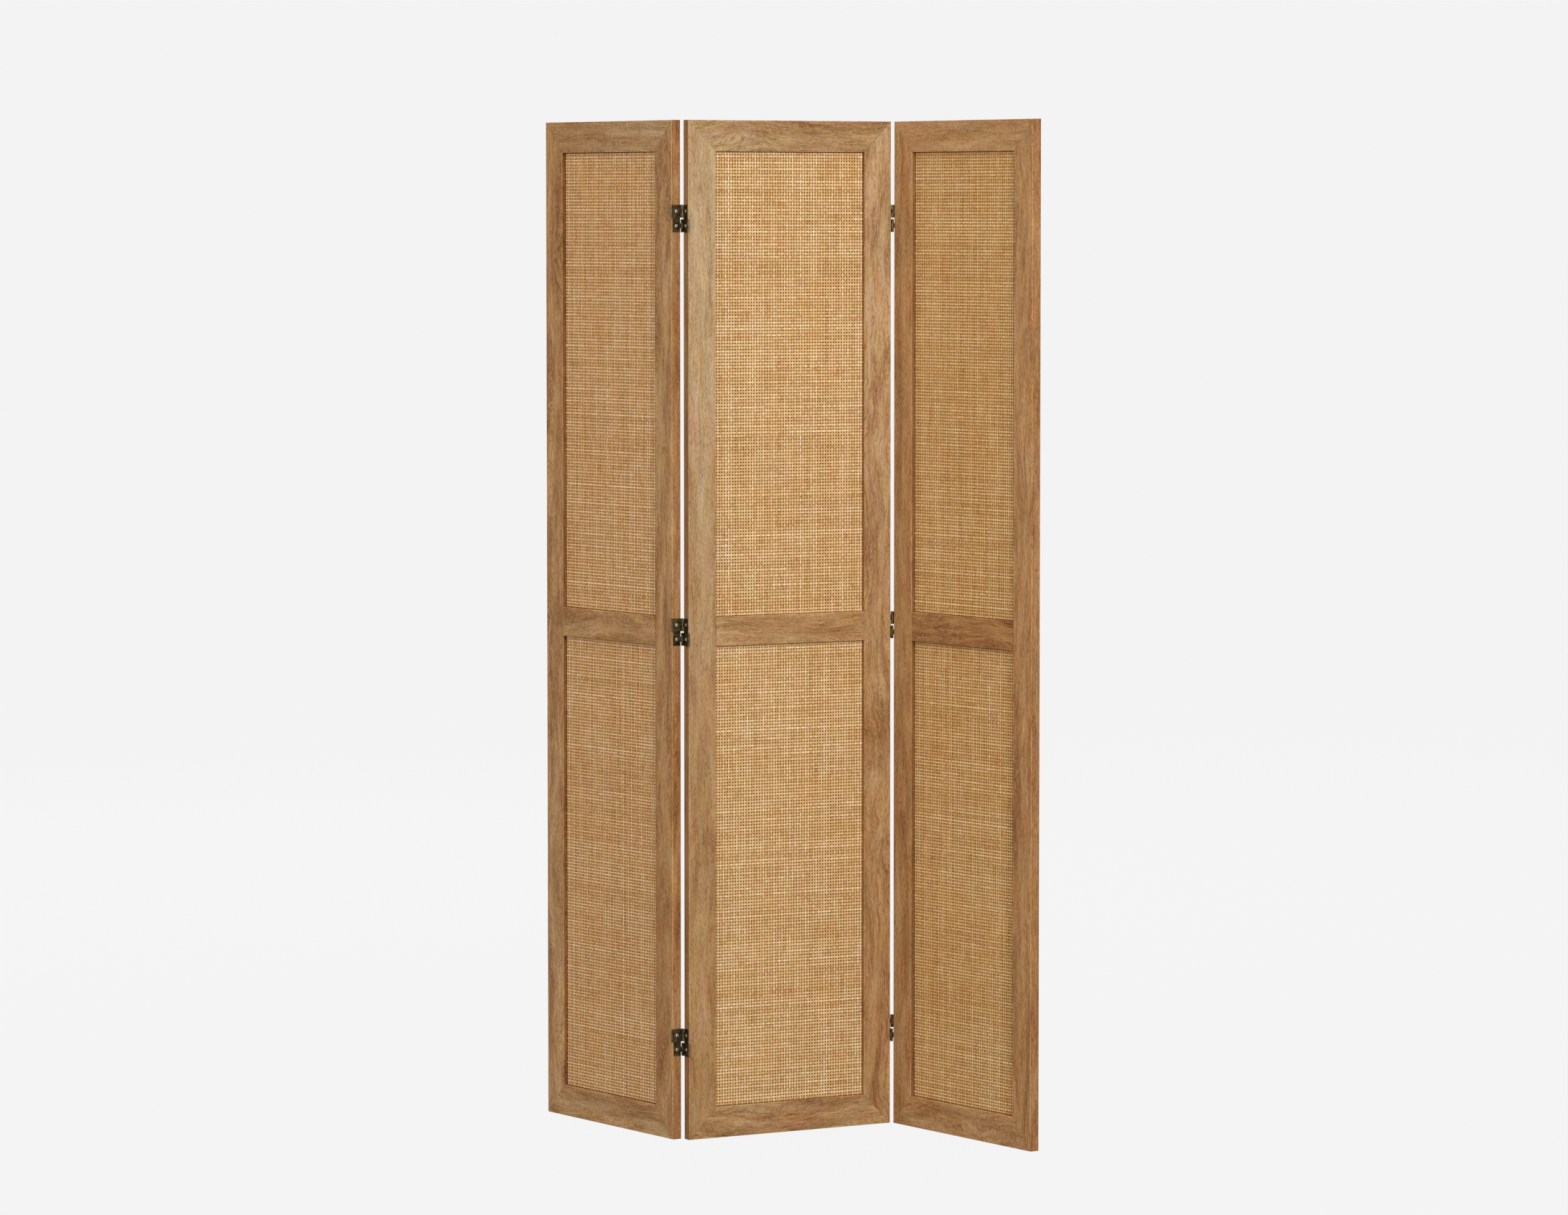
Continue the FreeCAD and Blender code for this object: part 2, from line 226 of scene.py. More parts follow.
class NodeGraph:
    """A material's node tree, with a short method for each step that the finishes take."""

    def __init__(self, name: str) -> None:
        """Starts a material with its shader.

        Args:
            name: The material's name.
        """
        self.material = bpy.data.materials.new(name)
        self.material.use_nodes = True
        self.tree = self.material.node_tree
        self.shader = self.tree.nodes["Principled BSDF"]

    def put(self, node: bpy.types.Node, values: Inputs) -> None:
        """Links or sets the inputs of a node.

        Args:
            node: The node to feed.
            values: What goes into each input, by the input's name or number.
        """
        for key, value in values.items():
            if isinstance(value, Socket):
                self.tree.links.new(value, node.inputs[key])
            else:
                node.inputs[key].default_value = value

    def add(self, kind: str, values: Inputs, **settings: str) -> bpy.types.Node:
        """Adds a node.

        Args:
            kind: The node's type name, without its leading words.
            values: Its inputs, as for put.
            settings: Its own settings.

        Returns:
            The new node.
        """
        node = self.tree.nodes.new(f"ShaderNode{kind}")
        for key, value in settings.items():
            setattr(node, key, value)
        self.put(node, values)
        return node

    def maths(self, operation: str, a: Number, b: Number = 0.0) -> Socket:
        """One sum on two numbers."""
        return self.add("Math", {0: a, 1: b}, operation=operation).outputs[0]

    def plus(self, a: Number, b: Number) -> Socket:
        """Two numbers together."""
        return self.maths("ADD", a, b)

    def minus(self, a: Number, b: Number) -> Socket:
        """The first number less the second."""
        return self.maths("SUBTRACT", a, b)

    def times(self, a: Number, b: Number) -> Socket:
        """The first number times the second."""
        return self.maths("MULTIPLY", a, b)

    def divided(self, a: Number, b: Number) -> Socket:
        """The first number divided by the second."""
        return self.maths("DIVIDE", a, b)

    def unsigned(self, a: Number) -> Socket:
        """A number without its sign."""
        return self.maths("ABSOLUTE", a)

    def vector(self, x: Number, y: Number, z: Number) -> Socket:
        """A vector from three numbers."""
        return self.add("CombineXYZ", {0: x, 1: y, 2: z}).outputs[0]

    def parts(self, vector: Socket) -> Sequence[Socket]:
        """The three numbers of a vector."""
        return self.add("SeparateXYZ", {0: vector}).outputs

    def own_place(self) -> Socket:
        """The place on the piece itself, in metres."""
        return self.add("TexCoord", {}).outputs["Object"]

    def scaled(self, place: Socket, size: float) -> Socket:
        """A place counted in lumps of this size."""
        return self.add("VectorMath", {0: place, "Scale": 1 / size}, operation="SCALE").outputs[0]

    def ranged(self, value: Number, span: Span) -> Socket:
        """Carries a number from one range to another, smoothly and held at both ends.

        Args:
            value: The number.
            span: The two ranges.

        Returns:
            The carried number.
        """
        values = {0: value, 1: span.low, 2: span.high, 3: span.first, 4: span.last}
        return self.add("MapRange", values, interpolation_type="SMOOTHSTEP").outputs[0]

    def noise(
        self, place: Socket, detail: float = 2.0, roughness: float = 0.5, twist: float = 0.0
    ) -> Socket:
        """Soft noise, about half on average, one lump to each unit of place.

        Args:
            place: Where it is read.
            detail: How many finer layers it has.
            roughness: How strong those layers are.
            twist: How much it curls.

        Returns:
            The noise as a number.
        """
        values = {
            "Vector": place, "Scale": 1.0, "Detail": detail, "Roughness": roughness, "Distortion": twist,
        }
        return self.add("TexNoise", values).outputs["Fac"]

    def swing(self, noise: Socket, strength: float) -> Socket:
        """Noise as a number about nought, times its strength."""
        return self.times(self.minus(noise, NOISE_MIDDLE), strength)

    def mix(self, share: Number, a: Tint, b: Tint, blend: str = "MIX") -> Socket:
        """Mixes two colours.

        Args:
            share: How much of the second colour shows.
            a: The first colour.
            b: The second colour.
            blend: How the second is laid on the first.

        Returns:
            The mixed colour.
        """
        node = self.add("Mix", {0: share, 6: a, 7: b}, data_type="RGBA", blend_type=blend)
        return node.outputs[2]

    def tinted(self, colour: Socket, tint: Tint, share: Number = 1.0) -> Socket:
        """Multiplies a colour by a tint, where the share says so."""
        return self.mix(share, colour, tint, "MULTIPLY")

    def ramp(self, share: Number, stops: Sequence[tuple[float, Colour]]) -> Socket:
        """A run of colours.

        Args:
            share: Where along the run to read.
            stops: The place and colour of each stop, in order.

        Returns:
            The colour read.
        """
        node = self.add("ValToRGB", {0: share})
        elements = node.color_ramp.elements
        # New stops start halfway and are then moved to their places in order.
        halfway = 0.5
        while len(elements) < len(stops):
            elements.new(halfway)
        for element, (place, colour) in zip(elements, stops):
            element.position = place
            element.color = colour
        return node.outputs[0]

    def relief(self, height: Socket, strength: float, depth: float) -> None:
        """Raises and sinks the surface by a height.

        Args:
            height: The height, from 0 to 1.
            strength: How much of it shows.
            depth: What a height of 1 stands for, in metres.
        """
        bump = self.add("Bump", {"Height": height, "Strength": strength, "Distance": depth})
        self.put(self.shader, {"Normal": bump.outputs[0]})

    def in_panel(self, output: str, place: Place, direction: bool = False) -> Sequence[Socket]:
        """Reads the piece's own coordinates along its panel's axes.

        Args:
            output: The coordinates to read, Object for points and Normal for directions.
            place: Where the panel stands.
            direction: True for a direction, which has no place.

        Returns:
            Across, through and up the panel.
        """
        own = self.add("TexCoord", {}).outputs[output]
        centre = (0.0, 0.0, 0.0) if direction else tuple(place.centre)
        moved = self.add("VectorMath", {0: own, 1: centre}, operation="SUBTRACT").outputs[0]
        values = {"Vector": moved, "Angle": -place.turn}
        return self.parts(self.add("VectorRotate", values, rotation_type="Z_AXIS").outputs[0])


@dataclass(frozen=True)
class Cut:
    """What sets one bar's piece of wood apart.

    Its tone and coolness are about nought, and its figure and its edges' lightness about one.
    Drift is how much paler and cooler its top or right end is than its other end.
    """

    tone: float = 0.0
    cool: float = 0.0
    figure: float = 1.0
    edge: float = 1.0
    drift: float = 0.0

    @property
    def cooled(self) -> Shade:
        """What its coolness multiplies the three parts of a colour by."""
        return (1.0, 1.0 + COOL_GREEN_SHARE * self.cool, 1.0 + self.cool)


@dataclass(frozen=True)
class Lumps:
    """A layer of soft noise in wood: its lumps' length and width in metres, and how strong it is."""

    length: float
    width: float
    layer: float
    detail: float = 2.0
    roughness: float = 0.5
    twist: float = 0.0
    strength: float = 1.0


@dataclass(frozen=True)
class Bar:
    """One bar as its finish reads it: its piece of wood, and where each point of it lies.

    Places are counted across, through and up the panel, and along and across the grain. Facing and
    level say how squarely the surface looks sideways, and up or down, from 0 to 1.
    """

    graph: NodeGraph
    cut: Cut
    size: FrameSize
    across: Socket
    through: Socket
    up: Socket
    along: Socket
    side: Socket
    facing: Socket
    level: Socket

    def noise(self, lumps: Lumps) -> Socket:
        """Reads a layer of noise in the wood.

        Args:
            lumps: The layer.

        Returns:
            The noise as a number.
        """
        graph = self.graph
        depth = graph.divided(self.through, lumps.width)
        place = graph.vector(
            graph.divided(self.along, lumps.length),
            graph.divided(self.side, lumps.width),
            graph.plus(depth, lumps.layer),
        )
        return graph.noise(place, lumps.detail, lumps.roughness, lumps.twist)


@dataclass(frozen=True)
class WoodFinish:
    """Oiled, figured hardwood: broad tone, swaying grain, smudges, fine streaks and short pores."""

    dark: Colour = (0.165, 0.072, 0.027, 1.0)
    brown: Colour = (0.290, 0.137, 0.053, 1.0)
    tan: Colour = (0.390, 0.208, 0.084, 1.0)
    pale: Colour = (0.520, 0.312, 0.145, 1.0)
    stops: tuple[float, ...] = (0.12, 0.40, 0.60, 0.90)
    usual_tone: float = 0.56

    seed_along: float = 2.37
    seed_side: float = 0.713
    sway: Lumps = Lumps(0.24, 0.070, 0.0, 1.0, strength=0.055)
    curl: Lumps = Lumps(0.065, 0.028, 3.1, twist=0.6, strength=0.011)
    clouds: Lumps = Lumps(0.26, 0.028, 1.7, 3.0, 0.60, strength=0.90)
    smudges: Lumps = Lumps(0.085, 0.015, 5.3, 3.0, 0.60, 0.4, strength=0.70)
    streaks: Lumps = Lumps(0.045, 0.0034, 7.9, 3.0, 0.65, strength=0.35)
    flecks: Lumps = Lumps(0.0220, 0.0042, 2.2, 3.0, 0.70, 0.4, strength=0.40)
    fibres: Lumps = Lumps(0.0050, 0.0013, 6.6, 1.0, strength=0.64)
    calmest: float = 0.6
    calm_start: float = 0.2

    redness: Lumps = Lumps(0.11, 0.022, 4.4, 2.0, 0.6, 0.4)
    red_tint: Colour = (1.01, 0.925, 0.925, 1.0)
    olive_tint: Colour = (0.97, 1.05, 1.05, 1.0)
    yellowness: Lumps = Lumps(0.08, 0.018, 11.6, 2.0, 0.6, 0.4)
    yellow_tint: Colour = (1.0, 1.0, 0.86, 1.0)
    grey_tint: Colour = (1.0, 1.0, 1.13, 1.0)
    high_hue: Span = Span(0.50, 0.70)
    low_hue: Span = Span(0.50, 0.30)

    pores: Lumps = Lumps(0.0060, 0.00130, 9.4, 0.0, strength=0.40)
    pore_span: Span = Span(0.62, 0.74)
    glint_span: Span = Span(0.38, 0.26, 0.0, 0.35)
    ring_depth: Lumps = Lumps(0.34, 0.034, 13.2, 1.5, 0.35, strength=0.9)
    ring_count: float = 17.0
    ring_span: Span = Span(0.16, 0.0)
    ring_patches: Lumps = Lumps(0.15, 0.030, 15.8, 1.0)
    ring_patch_span: Span = Span(0.48, 0.66)
    ring_tint: Colour = (0.66, 0.60, 0.54, 1.0)

    near_end: Shade = (-0.14, -0.23, -0.33)
    far_end: Shade = (0.05, 0.14, 0.29)
    upright_ends: Span = Span(0.25, 1.85)
    level_ends: Span = Span(-0.15, 0.15)
    face_span: Span = Span(0.98, 0.75)
    edge_tint: Shade = (0.87, 0.80, 0.75)
    edge_span: Span = Span(0.75, 0.98)
    # Painted shade on the reveals, the side faces inside the openings.
    reveal_tint: Colour = (0.70, 0.64, 0.56, 1.0)
    reveal_depths: tuple[float, float] = (0.010, 0.012)
    reveal_span: Span = Span(0.5, 0.9)
    arris_tint: Colour = (1.34, 1.34, 1.30, 1.0)
    arris_spans: tuple[Span, Span] = (Span(0.05, 0.35), Span(0.80, 0.97, 1.0, 0.0))

    joint_tint: Colour = (0.42, 0.36, 0.30, 1.0)
    joint_width: float = 0.5 * MILLIMETRE
    mitre_widths: Span = Span(0.4, 1.2, 0.5, 0.0)
    butt_widths: Span = Span(0.3, 1.0, 0.8, 0.0)

    shine: float = 0.05
    rough_span: Span = Span(0.3, 0.9, 0.60, 0.78)
    pore_roughness: float = 0.2
    streak_height: float = 0.6
    pore_depth: float = 0.5
    relief_strength: float = 0.5
    relief_depth: float = 0.25 * MILLIMETRE

    def material(
        self, name: str, place: Place, grain: Grain, seed: int, cut: Cut, size: FrameSize
    ) -> Material:
        """Makes the finish for one bar of the frame.

        Args:
            name: The material's name.
            place: Where the bar's panel stands.
            grain: Which way the bar's wood runs.
            seed: Which piece of wood this bar is cut from.
            cut: What sets that piece of wood apart.
            size: The sizes that place the joints between the bars.

        Returns:
            The material.
        """
        graph = NodeGraph(name)
        across, through, up = graph.in_panel("Object", place)
        normal = graph.in_panel("Normal", place, direction=True)
        facing, level = (graph.unsigned(normal[axis]) for axis in (0, 2))
        upright = grain is Grain.UPRIGHT
        along, side = (up, across) if upright else (across, up)
        along = graph.plus(along, seed * self.seed_along)
        side = graph.plus(side, seed * self.seed_side)
        bar = self.swayed(Bar(graph, cut, size, across, through, up, along, side, facing, level))

        streak = bar.noise(self.streaks)
        pore = bar.noise(self.pores)
        pores = graph.ranged(pore, self.pore_span)
        colour = self.toned(bar, streak)
        colour = graph.mix(graph.times(pores, self.pores.strength), colour, self.dark)
        colour = graph.mix(graph.ranged(pore, self.glint_span), colour, self.pale)
        colour = graph.tinted(colour, self.ring_tint, self.rings(bar))
        if cut.drift:
            run = (up, self.upright_ends) if upright else (across, self.level_ends)
            ends = (
                opaque([1.0 + cut.drift * part for part in end]) for end in (self.near_end, self.far_end)
            )
            drift = graph.mix(graph.ranged(*run), *ends)
            colour = graph.tinted(colour, drift, graph.ranged(facing, self.face_span))
        # Edge tone, painted shade on the reveals, and paler corners between faces.
        colour = self.worn(bar, colour)
        colour = graph.tinted(colour, self.joint_tint, self.joints(bar))

        open_grain = graph.plus(streak, graph.times(pores, self.pore_roughness))
        rough = graph.ranged(open_grain, self.rough_span)
        values = {"Base Color": colour, "Specular IOR Level": self.shine, "Roughness": rough}
        graph.put(graph.shader, values)
        raised = graph.times(streak, self.streak_height)
        sunk = graph.times(pores, self.pore_depth)
        height = graph.minus(raised, sunk)
        graph.relief(height, self.relief_strength, self.relief_depth)
        return graph.material

    def swayed(self, bar: Bar) -> Bar:
        """Lets a bar's grain sway and curl from side to side, the more so the more figured it is.

        Args:
            bar: The bar, with straight grain.

        Returns:
            The bar with its grain swayed.
        """
        graph, figure = bar.graph, bar.cut.figure
        sway = replace(self.sway, width=self.sway.width * max(figure, 1.0))
        shifted, curled = (
            graph.swing(bar.noise(lumps), lumps.strength * figure) for lumps in (sway, self.curl)
        )
        return replace(bar, side=graph.plus(bar.side, graph.plus(shifted, curled)))

    def toned(self, bar: Bar, streak: Socket) -> Socket:
        """Lays a bar's tone, from broad clouds down to fibres, and turns patches of it to other hues.

        Args:
            bar: The bar.
            streak: Its streaks.

        Returns:
            The colour.
        """
        graph, cut = bar.graph, bar.cut
        calm = self.calmest + (1.0 - self.calmest) * min(cut.figure + self.calm_start, 1.0)
        layers = (
            (bar.noise(self.clouds), self.clouds.strength * calm),
            (bar.noise(self.smudges), self.smudges.strength * calm),
            (streak, self.streaks.strength * (1.0 + cut.figure)),
            (bar.noise(self.flecks), self.flecks.strength * cut.figure),
            (bar.noise(self.fibres), self.fibres.strength),
        )
        total = self.usual_tone + cut.tone
        for layer, strength in layers:
            total = graph.plus(graph.swing(layer, strength), total)
        shades = (self.dark, self.brown, self.tan, self.pale)
        cooled = [opaque([part * cool for part, cool in zip(shade, cut.cooled)]) for shade in shades]
        colour = graph.ramp(total, list(zip(self.stops, cooled)))
        hues = (
            (self.redness, self.red_tint, self.olive_tint),
            (self.yellowness, self.yellow_tint, self.grey_tint),
        )
        for lumps, high, low in hues:
            hue = bar.noise(lumps)
            colour = graph.tinted(colour, high, graph.ranged(hue, self.high_hue))
            colour = graph.tinted(colour, low, graph.ranged(hue, self.low_hue))
        return colour

    def rings(self, bar: Bar) -> Socket:
        """Finds the thin dark arcs where growth rings run out of the bar's face.

        Args:
            bar: The bar.

        Returns:
            1 in the darkest arcs and 0 away from them.
        """
        graph = bar.graph
        depth = graph.times(bar.noise(self.ring_depth), self.ring_count)
        off_ring = graph.minus(graph.maths("FRACT", depth), NOISE_MIDDLE)
        arc = graph.ranged(graph.unsigned(off_ring), self.ring_span)
        shown = graph.ranged(bar.noise(self.ring_patches), self.ring_patch_span)
        strength = self.ring_depth.strength * min(bar.cut.figure, 1.0)
        return graph.times(graph.times(arc, shown), strength)

    def worn(self, bar: Bar, colour: Socket) -> Socket:
        """Darkens a bar's edges, paints shade on its reveals, and makes the corners between its faces paler.

        Args:
            bar: The bar.
            colour: Its colour so far.

        Returns:
            The colour.
        """
        graph, cut, facing = bar.graph, bar.cut, bar.facing
        edge_tint = opaque([part * cut.edge / cool for part, cool in zip(self.edge_tint, cut.cooled)])
        colour = graph.tinted(colour, edge_tint, graph.ranged(facing, self.edge_span))
        # Painted shade on the reveals, the side faces inside the openings, where the frame shades them.
        inner_edge = Span(*(bar.size.width / 2 - depth for depth in self.reveal_depths))
        inside = graph.ranged(graph.unsigned(bar.across), inner_edge)
        reveal_shade = graph.times(inside, graph.ranged(facing, self.reveal_span))
        colour = graph.tinted(colour, self.reveal_tint, reveal_shade)
        turned = graph.maths("MAXIMUM", facing, bar.level)
        arris = graph.times(*(graph.ranged(turned, span) for span in self.arris_spans))
        return graph.tinted(colour, self.arris_tint, arris)

    def joints(self, bar: Bar) -> Socket:
        """Finds the fine dark lines where bars meet: the four mitres and the ends of the middle rail.

        Args:
            bar: The bar.

        Returns:
            1 in a joint and 0 away from it.
        """
        graph, size, up = bar.graph, bar.size, bar.up
        sideways = graph.unsigned(bar.across)
        from_edge = graph.minus(size.width / 2, sideways)
        from_end = graph.maths("MINIMUM", up, graph.minus(size.height, up))
        off_mitre = graph.minus(from_edge, from_end)
        off_butt = graph.minus(sideways, size.half_opening)
        lines = []
        for off, widths in ((off_mitre, self.mitre_widths), (off_butt, self.butt_widths)):
            low, high = widths.low * self.joint_width, widths.high * self.joint_width
            lines.append(graph.ranged(graph.unsigned(off), replace(widths, low=low, high=high)))
        mitre, butt = lines
        off_middle = graph.unsigned(graph.minus(up, size.height / 2))
        in_middle = graph.maths("LESS_THAN", off_middle, size.middle_bar / 2)
        return graph.maths("MAXIMUM", mitre, graph.times(butt, in_middle))


@dataclass(frozen=True)
class StrandLumps:
    """A layer of noise along cane: its lumps' length in metres, and how far apart strands read it.

    Over_share is how much it changes from one side of a strand to the other.
    """

    length: float
    apart: float
    layer: float = 0.0
    detail: float = 1.0
    roughness: float = 0.5
    over_share: float = 0.18
    strength: float = 1.0


@dataclass(frozen=True)
class CaneFinish:
    """Natural cane: each strand has its own shade, with paler and darker stretches, blush and flecks, and
    painted shade along its edges and in the groove.
    """

    dark: Colour = (0.300, 0.143, 0.042, 1.0)
    honey: Colour = (0.560, 0.336, 0.140, 1.0)
    straw: Colour = (0.700, 0.470, 0.244, 1.0)
    pale: Colour = (0.860, 0.670, 0.445, 1.0)
    stops: tuple[float, ...] = (0.10, 0.38, 0.62, 0.95)
    tint: Colour = (1.0, 1.0, 1.0, 1.0)

    stretch: StrandLumps = StrandLumps(0.060, 3.7, 0.0, 3.0, 0.6, strength=0.90)
    short: StrandLumps = StrandLumps(0.0060, 5.3, 4.0, strength=0.45)
    redden: StrandLumps = StrandLumps(0.030, 2.9, 12.0)
    blush: Colour = (0.500, 0.240, 0.120, 1.0)
    blush_span: Span = Span(0.54, 0.72, 0.0, 0.65)
    olive: Colour = (0.86, 0.95, 0.74, 1.0)
    olive_span: Span = Span(0.46, 0.28, 0.0, 0.80)
    fleck: StrandLumps = StrandLumps(0.0030, 7.1, 8.0)
    fleck_span: Span = Span(0.66, 0.80, 0.0, 0.60)

    patch_size: float = 0.070
    patch_detail: float = 3.0
    patch_roughness: float = 0.75
    rusty_patch: Colour = (1.0, 0.955, 0.90, 1.0)
    rusty_span: Span = Span(0.50, 0.66)
    sandy_patch: Colour = (1.0, 1.035, 1.10, 1.0)
    sandy_span: Span = Span(0.50, 0.34)

    # Painted shade along the edges of each strand, beside the holes.
    rim_tint: Colour = (0.85, 0.76, 0.59, 1.0)
    rim_span: Span = Span(0.55, 1.0)
    # Painted shade where the cane runs into the groove round the opening.
    crevice_tint: Colour = (0.40, 0.25, 0.10, 1.0)
    crevice_span: Span = Span(0.20, -0.20)

    fibre: StrandLumps = StrandLumps(0.012, 1.9, 0.0, 2.0, over_share=4.0)
    rough_span: Span = Span(0.2, 0.8, 0.52, 0.72)
    shine: float = 0.0
    relief_strength: float = 0.4
    relief_depth: float = 0.12 * MILLIMETRE

    def material(self, name: str) -> Material:
        """Makes the finish, which reads the place that each woven sheet stores on its strands.

        Args:
            name: The material's name.

        Returns:
            The material.
        """
        graph = NodeGraph(name)
        stored = graph.add("Attribute", {}, attribute_name="strand").outputs["Vector"]
        # The stored shade is each strand's own tone, with painted light and shade at crossings and painted
        # shade in the groove.
        own = graph.add("Attribute", {}, attribute_name="shade").outputs["Fac"]
        over, along, number = graph.parts(stored)

        def noise(lumps: StrandLumps) -> Socket:
            """Reads a layer of noise that differs between strands."""
            place = graph.vector(
                graph.divided(along, lumps.length),
                graph.times(number, lumps.apart),
                graph.plus(graph.times(over, lumps.over_share), lumps.layer),
            )
            return graph.noise(place, lumps.detail, lumps.roughness)

        total = own
        for lumps in (self.stretch, self.short):
            total = graph.plus(total, graph.swing(noise(lumps), lumps.strength))
        shades = (self.dark, self.honey, self.straw, self.pale)
        colour = graph.ramp(total, list(zip(self.stops, shades)))
        if self.tint != CaneFinish.tint:
            colour = graph.tinted(colour, self.tint)
        redden = noise(self.redden)
        colour = graph.mix(graph.ranged(redden, self.blush_span), colour, self.blush)
        colour = graph.tinted(colour, self.olive, graph.ranged(redden, self.olive_span))
        colour = graph.mix(graph.ranged(noise(self.fleck), self.fleck_span), colour, self.dark)

        spread = graph.scaled(graph.own_place(), self.patch_size)
        patches = graph.noise(spread, self.patch_detail, self.patch_roughness)
        colour = graph.tinted(colour, self.rusty_patch, graph.ranged(patches, self.rusty_span))
        colour = graph.tinted(colour, self.sandy_patch, graph.ranged(patches, self.sandy_span))
        # Painted shade along the edges of each strand, beside the holes.
        rim = graph.ranged(graph.unsigned(over), self.rim_span)
        colour = graph.tinted(colour, self.rim_tint, rim)
        # Painted shade where the stored shade runs low, at the strand ends in the groove.
        colour = graph.tinted(colour, self.crevice_tint, graph.ranged(own, self.crevice_span))

        fibre = noise(self.fibre)
        rough = graph.ranged(fibre, self.rough_span)
        values = {"Base Color": colour, "Specular IOR Level": self.shine, "Roughness": rough}
        graph.put(graph.shader, values)
        graph.relief(fibre, self.relief_strength, self.relief_depth)
        return graph.material


@dataclass(frozen=True)
class BoardFinish:
    """The thin dark board that the cane is laid on."""

    dark: Colour = (0.120, 0.045, 0.005, 1.0)
    light: Colour = (0.200, 0.081, 0.012, 1.0)
    cloud_sizes: tuple[float, float, float] = (0.02, 0.02, 0.09)
    cloud_span: Span = Span(0.3, 0.7)
    cloud_detail: float = 3.0
    cloud_roughness: float = 0.6
    roughness: float = 0.9
    shine: float = 0.0

    def material(self, name: str) -> Material:
        """Makes the finish.

        Args:
            name: The material's name.

        Returns:
            The material.
        """
        graph = NodeGraph(name)
        axes = zip(graph.parts(graph.own_place()), self.cloud_sizes)
        spread = graph.vector(*(graph.divided(part, size) for part, size in axes))
        cloudy = graph.noise(spread, self.cloud_detail, self.cloud_roughness)
        colour = graph.mix(graph.ranged(cloudy, self.cloud_span), self.dark, self.light)
        values = {
            "Base Color": colour, "Roughness": self.roughness, "Specular IOR Level": self.shine,
        }
        graph.put(graph.shader, values)
        return graph.material


@dataclass(frozen=True)
class MetalFinish:
    """Metal with a patina in clouds, and another tone where its faces turn from the flat, by the edges."""

    dark: Colour
    bright: Colour
    smooth: float
    rough: float
    cloud: float = 0.006
    cloud_detail: float = 3.0
    cloud_roughness: float = 0.6
    grain: float = 0.0007
    grain_share: float = 0.35
    wear_span: Span = Span(0.45, 0.95)
    rough_span: Span = Span(0.3, 0.7)
    relief_strength: float = 0.25
    relief_depth: float = 0.05 * MILLIMETRE
    edge: Colour = (0.26, 0.20, 0.11, 1.0)
    edge_span: Span = Span(0.40, 0.12)
    edge_cloud_span: Span = Span(0.35, 0.60, 0.55, 1.0)

    def start(self, name: str) -> tuple[NodeGraph, Socket, Socket]:
        """Makes the metal itself, whose colour is still to be put on the shader.

        Args:
            name: The material's name.

        Returns:
            The material's graph, its colour and its clouds.
        """
        graph = NodeGraph(name)
        own = graph.own_place()
        clouds = graph.noise(graph.scaled(own, self.cloud), self.cloud_detail, self.cloud_roughness)
        grains = graph.noise(graph.scaled(own, self.grain), detail=1.0)
        worn = graph.plus(clouds, graph.times(grains, self.grain_share))
        colour = graph.mix(graph.ranged(worn, self.wear_span), self.dark, self.bright)
        rough = graph.ranged(clouds, replace(self.rough_span, first=self.smooth, last=self.rough))
        graph.put(graph.shader, {"Roughness": rough, "Metallic": 1.0})
        graph.relief(grains, self.relief_strength, self.relief_depth)
        return graph, colour, clouds

    def material(self, name: str, flat: Vector | None = None) -> Material:
        """Makes the finish.

        Args:
            name: The material's name.
            flat: The way that the flat faces look, or none for metal with one tone all over.

        Returns:
            The material.
        """
        graph, colour, clouds = self.start(name)
        if flat is not None:
            normal = graph.add("TexCoord", {}).outputs["Normal"]
            product = graph.add("VectorMath", {0: normal, 1: tuple(flat)}, operation="DOT_PRODUCT")
            squareness = graph.unsigned(product.outputs["Value"])
            edges = graph.ranged(squareness, self.edge_span)
            shown = graph.times(edges, graph.ranged(clouds, self.edge_cloud_span))
            colour = graph.mix(shown, colour, self.edge)
        graph.put(graph.shader, {"Base Color": colour})
        return graph.material


BRONZE = MetalFinish((0.048, 0.032, 0.013, 1.0), (0.140, 0.096, 0.042, 1.0), 0.34, 0.50)
# A darker copy of the bronze for the plates on the centre panel's edges: painted shade.
SHADED_BRONZE = MetalFinish((0.030, 0.020, 0.008, 1.0), (0.090, 0.062, 0.027, 1.0), 0.34, 0.50)
NICKEL = MetalFinish((0.66, 0.63, 0.56, 1.0), (0.88, 0.85, 0.77, 1.0), 0.36, 0.48, cloud=0.004)


